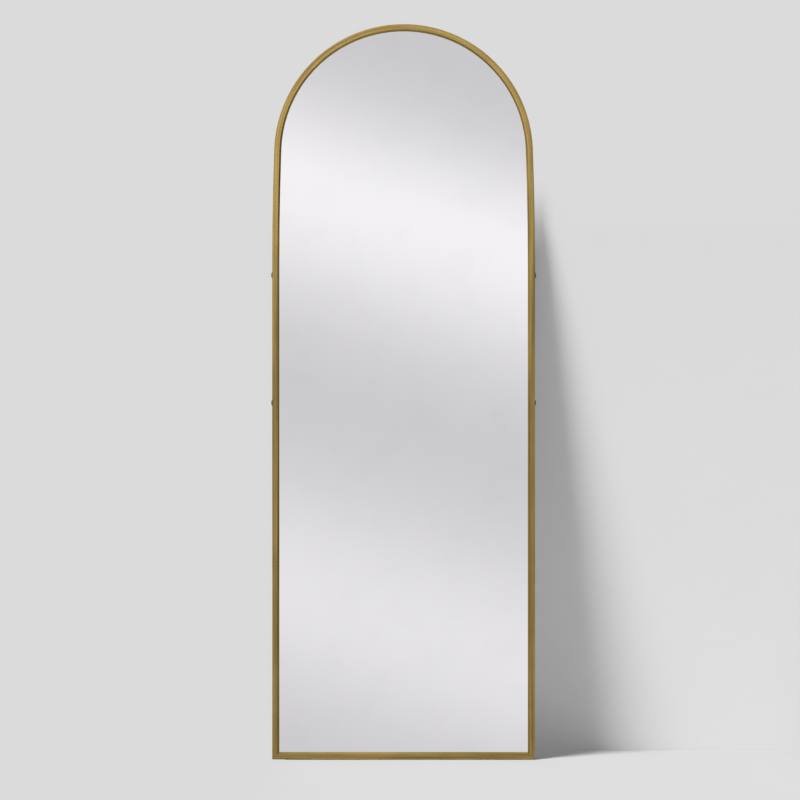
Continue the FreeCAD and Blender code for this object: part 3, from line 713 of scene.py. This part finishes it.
@dataclass
class Studio:
    """The floor, the bent wall, the lights, the world and the camera.

    The places on the photograph are pixels from its top left corner.
    """

    photo_side: float = 800.0
    frame_left: float = 272.2
    frame_right: float = 535.0
    frame_top: float = 24.1
    frame_bottom: float = 759.8
    floor_line: float = 749.6
    camera_distance: float = 8.0
    view_limit: float = 60.0
    sensor: float = 36.0
    reach: float = 3.0
    wall_bend: float = 1.22
    wall_even_above: float = 1.33
    wall_paint: float = 0.705
    floor_paint: float = 0.488
    world_level: float = 0.44
    background: Colour = PaleStage.even_tone
    key_power: float = 4.0
    key_heading: tuple[float, float, float] = (1.03, 1.0, -2.2)
    key_spread: float = 15.5
    back_power: float = 1.2
    back_heading: tuple[float, float, float] = (0.35, -1.0, -0.6)
    back_spread: float = 66.0
    band_lean: float = 0.3
    band_blend: float = 0.01
    plain_gloss: float = 0.614
    fade_right: Fade = Fade(start=0.45, end=0.95, level=0.3)
    fade_down: Fade = Fade(start=-0.35, end=-0.9, level=0.6)
    fade_up: Fade = Fade(start=0.05, end=0.6, level=1.5)
    bands: tuple[SoftBand, ...] = (
        SoftBand(height=0.053, below=0.034, above=0.026, gain=0.34),
        SoftBand(height=-0.0645, below=0.031, above=0.0355, gain=0.22),
    )
    crown_light_power: float = 3.0
    crown_light_place: tuple[float, float, float] = (-0.45, -1.7, 1.54)
    crown_light_size: tuple[float, float] = (1.2, 0.45)
    eye: Vector = field(init=False)
    focal_pixels: float = field(init=False)

    def camera(self) -> None:
        """Places the camera square to the glass, so that the frame fills the photograph's pixels."""
        low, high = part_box("arch_frame")
        metres_per_pixel = high.z / (self.frame_bottom - self.frame_top)
        middle = self.photo_side / 2
        self.eye = Vector((
            (middle - (self.frame_left + self.frame_right) / 2) * metres_per_pixel,
            low.y - self.camera_distance,
            (self.frame_bottom - middle) * metres_per_pixel,
        ))
        self.focal_pixels = self.camera_distance / metres_per_pixel
        lens = bpy.data.cameras.new("camera")
        lens.sensor_width = self.sensor
        lens.lens = self.sensor * self.focal_pixels / self.photo_side
        lens.clip_end = self.view_limit
        camera = bpy.data.objects.new("camera", lens)
        camera.location = self.eye
        camera.rotation_euler = (math.pi / 2, 0.0, 0.0)
        bpy.context.scene.collection.objects.link(camera)
        bpy.context.scene.camera = camera

    def sheet(
        self, name: str, profile: list[tuple[float, float]], paint: bpy.types.Material
    ) -> bpy.types.Object:
        """Adds a sheet of the stage, as wide as the stage reaches.

        Args:
            name: Its name.
            profile: The depth and height of each line that it passes, from its front or lower edge.
            paint: Its material.

        Returns:
            The sheet.
        """
        points = [(x, depth, height) for depth, height in profile for x in (-self.reach, self.reach)]
        faces = [(i, i + 1, i + 3, i + 2) for i in range(0, len(points) - 2, 2)]
        mesh = bpy.data.meshes.new(name)
        mesh.from_pydata(points, [], faces)
        mesh.materials.append(paint)
        sheet = bpy.data.objects.new(name, mesh)
        bpy.context.scene.collection.objects.link(sheet)
        sheet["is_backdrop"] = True
        return sheet

    def floor_and_wall(self) -> None:
        """Lays the floor and stands the wall behind the bumpers, meeting on the photograph's line."""
        paint = PaleStage("floor", self.floor_paint, (0.0, 0.0, 1.0)).make()
        self.sheet("floor", [(-self.reach, 0.0), (self.reach, 0.0)], paint)
        foot = self.eye.y + self.eye.z * self.focal_pixels / (self.floor_line - self.photo_side / 2)
        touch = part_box("upper_bumpers")[1].y
        paint = PaleStage(
            "wall",
            self.wall_paint,
            (0.0, -1.0, 0.0),
            seen_in_metal=True,
            clear_from_behind=True,
            even_above=self.wall_even_above,
        ).make()
        wall = self.sheet("wall", [(foot, 0.0), (touch, self.wall_bend), (touch, self.reach)], paint)
        wall.visible_shadow = False
        wall.visible_diffuse = False
        LOG.info("the wall stands %.0f mm off at the floor", 1000 * (foot - touch))

    def sun(
        self, name: str, power: float, heading: tuple[float, float, float], spread: float
    ) -> bpy.types.Object:
        """Adds a lamp so far away that its light is even.

        Args:
            name: Its name.
            power: Its strength.
            heading: Where its light goes.
            spread: How wide it looks, in degrees.

        Returns:
            The lamp.
        """
        light = bpy.data.lights.new(name, "SUN")
        light.energy = power
        light.angle = math.radians(spread)
        lamp = bpy.data.objects.new(name, light)
        lamp.rotation_euler = Vector(heading).to_track_quat("-Z", "Y").to_euler()
        bpy.context.scene.collection.objects.link(lamp)
        return lamp

    def crown_light(self) -> bpy.types.Object:
        """Adds the softbox in front of the arch, on the left.

        Returns:
            The lamp.
        """
        light = bpy.data.lights.new("crown_light", "AREA")
        light.shape = "RECTANGLE"
        light.size, light.size_y = self.crown_light_size
        light.energy = self.crown_light_power
        lamp = bpy.data.objects.new("crown_light", light)
        lamp.location = self.crown_light_place
        aim = Vector((0.0, 0.0, self.crown_light_place[2])) - lamp.location
        lamp.rotation_euler = aim.to_track_quat("-Z", "Z").to_euler()
        bpy.context.scene.collection.objects.link(lamp)
        return lamp

    def light_only(self, lamp: bpy.types.Object, pieces: list[bpy.types.Object]) -> None:
        """Lets a lamp reach some pieces and nothing else.

        Args:
            lamp: The lamp.
            pieces: What it lights.
        """
        lit = bpy.data.collections.new(f"lit_by_{lamp.name}")
        for piece in pieces:
            lit.objects.link(piece)
        lamp.light_linking.receiver_collection = lit

    def lights(self) -> None:
        """Adds the soft key light from the upper left, a softbox for the gold and a light for the back."""
        key = self.sun("key_light", self.key_power, self.key_heading, self.key_spread)
        key.visible_glossy = False
        gold = [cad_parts[name] for name in ("arch_frame", "bottom_rail")]
        self.light_only(self.crown_light(), gold)
        back = self.sun("back_light", self.back_power, self.back_heading, self.back_spread)
        self.light_only(back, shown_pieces())

    def world(self) -> None:
        """Sets an even world that looks pale to the camera and has soft bands that the mirror shows."""
        world = bpy.data.worlds.new("studio")
        bpy.context.scene.world = world
        world.use_nodes = True
        tree = Tree(world.node_tree)
        heading = tree.add("ShaderNodeTexCoord").outputs["Generated"]
        x, _, z = tree.add("ShaderNodeSeparateXYZ", {0: heading}).outputs
        height = tree.math("ADD", z, tree.math("MULTIPLY", x, self.band_lean))
        gloss = self.plain_gloss
        for band in self.bands:
            low, high = band.height - self.band_blend, band.height + self.band_blend
            width = tree.scaled(height, low, high, band.below, band.above)
            glow = tree.math("MULTIPLY", tree.bell(height, band.height, width), band.gain)
            gloss = tree.math("ADD", glow, gloss)
        for value, fade in ((x, self.fade_right), (z, self.fade_down), (z, self.fade_up)):
            factor = tree.scaled(value, fade.start, fade.end, 1.0, fade.level)
            gloss = tree.math("MULTIPLY", gloss, factor)
        rays = tree.add("ShaderNodeLightPath").outputs
        plain = (self.world_level, self.world_level, self.world_level, 1.0)
        level = tree.mix(rays["Is Glossy Ray"], plain, gloss)
        colour = tree.mix(rays["Is Camera Ray"], level, self.background)
        sky = tree.add("ShaderNodeBackground", {"Color": colour, "Strength": 1.0})
        tree.add("ShaderNodeOutputWorld", {"Surface": sky.outputs[0]})

    def build(self) -> None:
        """Sets up everything round the object."""
        self.camera()
        self.floor_and_wall()
        self.lights()
        self.world()
        bpy.context.scene.view_settings.view_transform = "Standard"


def main() -> None:
    """Builds the looks in order: the object's own pieces, then the studio."""
    logging.basicConfig(level=logging.INFO, format="%(message)s")
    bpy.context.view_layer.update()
    for assembly in (GoldFrame(), GlassStack(), FoldingStand(), WallAndFloorFittings()):
        assembly.dress()
    Studio().build()


if __name__ == "__main__":
    main()
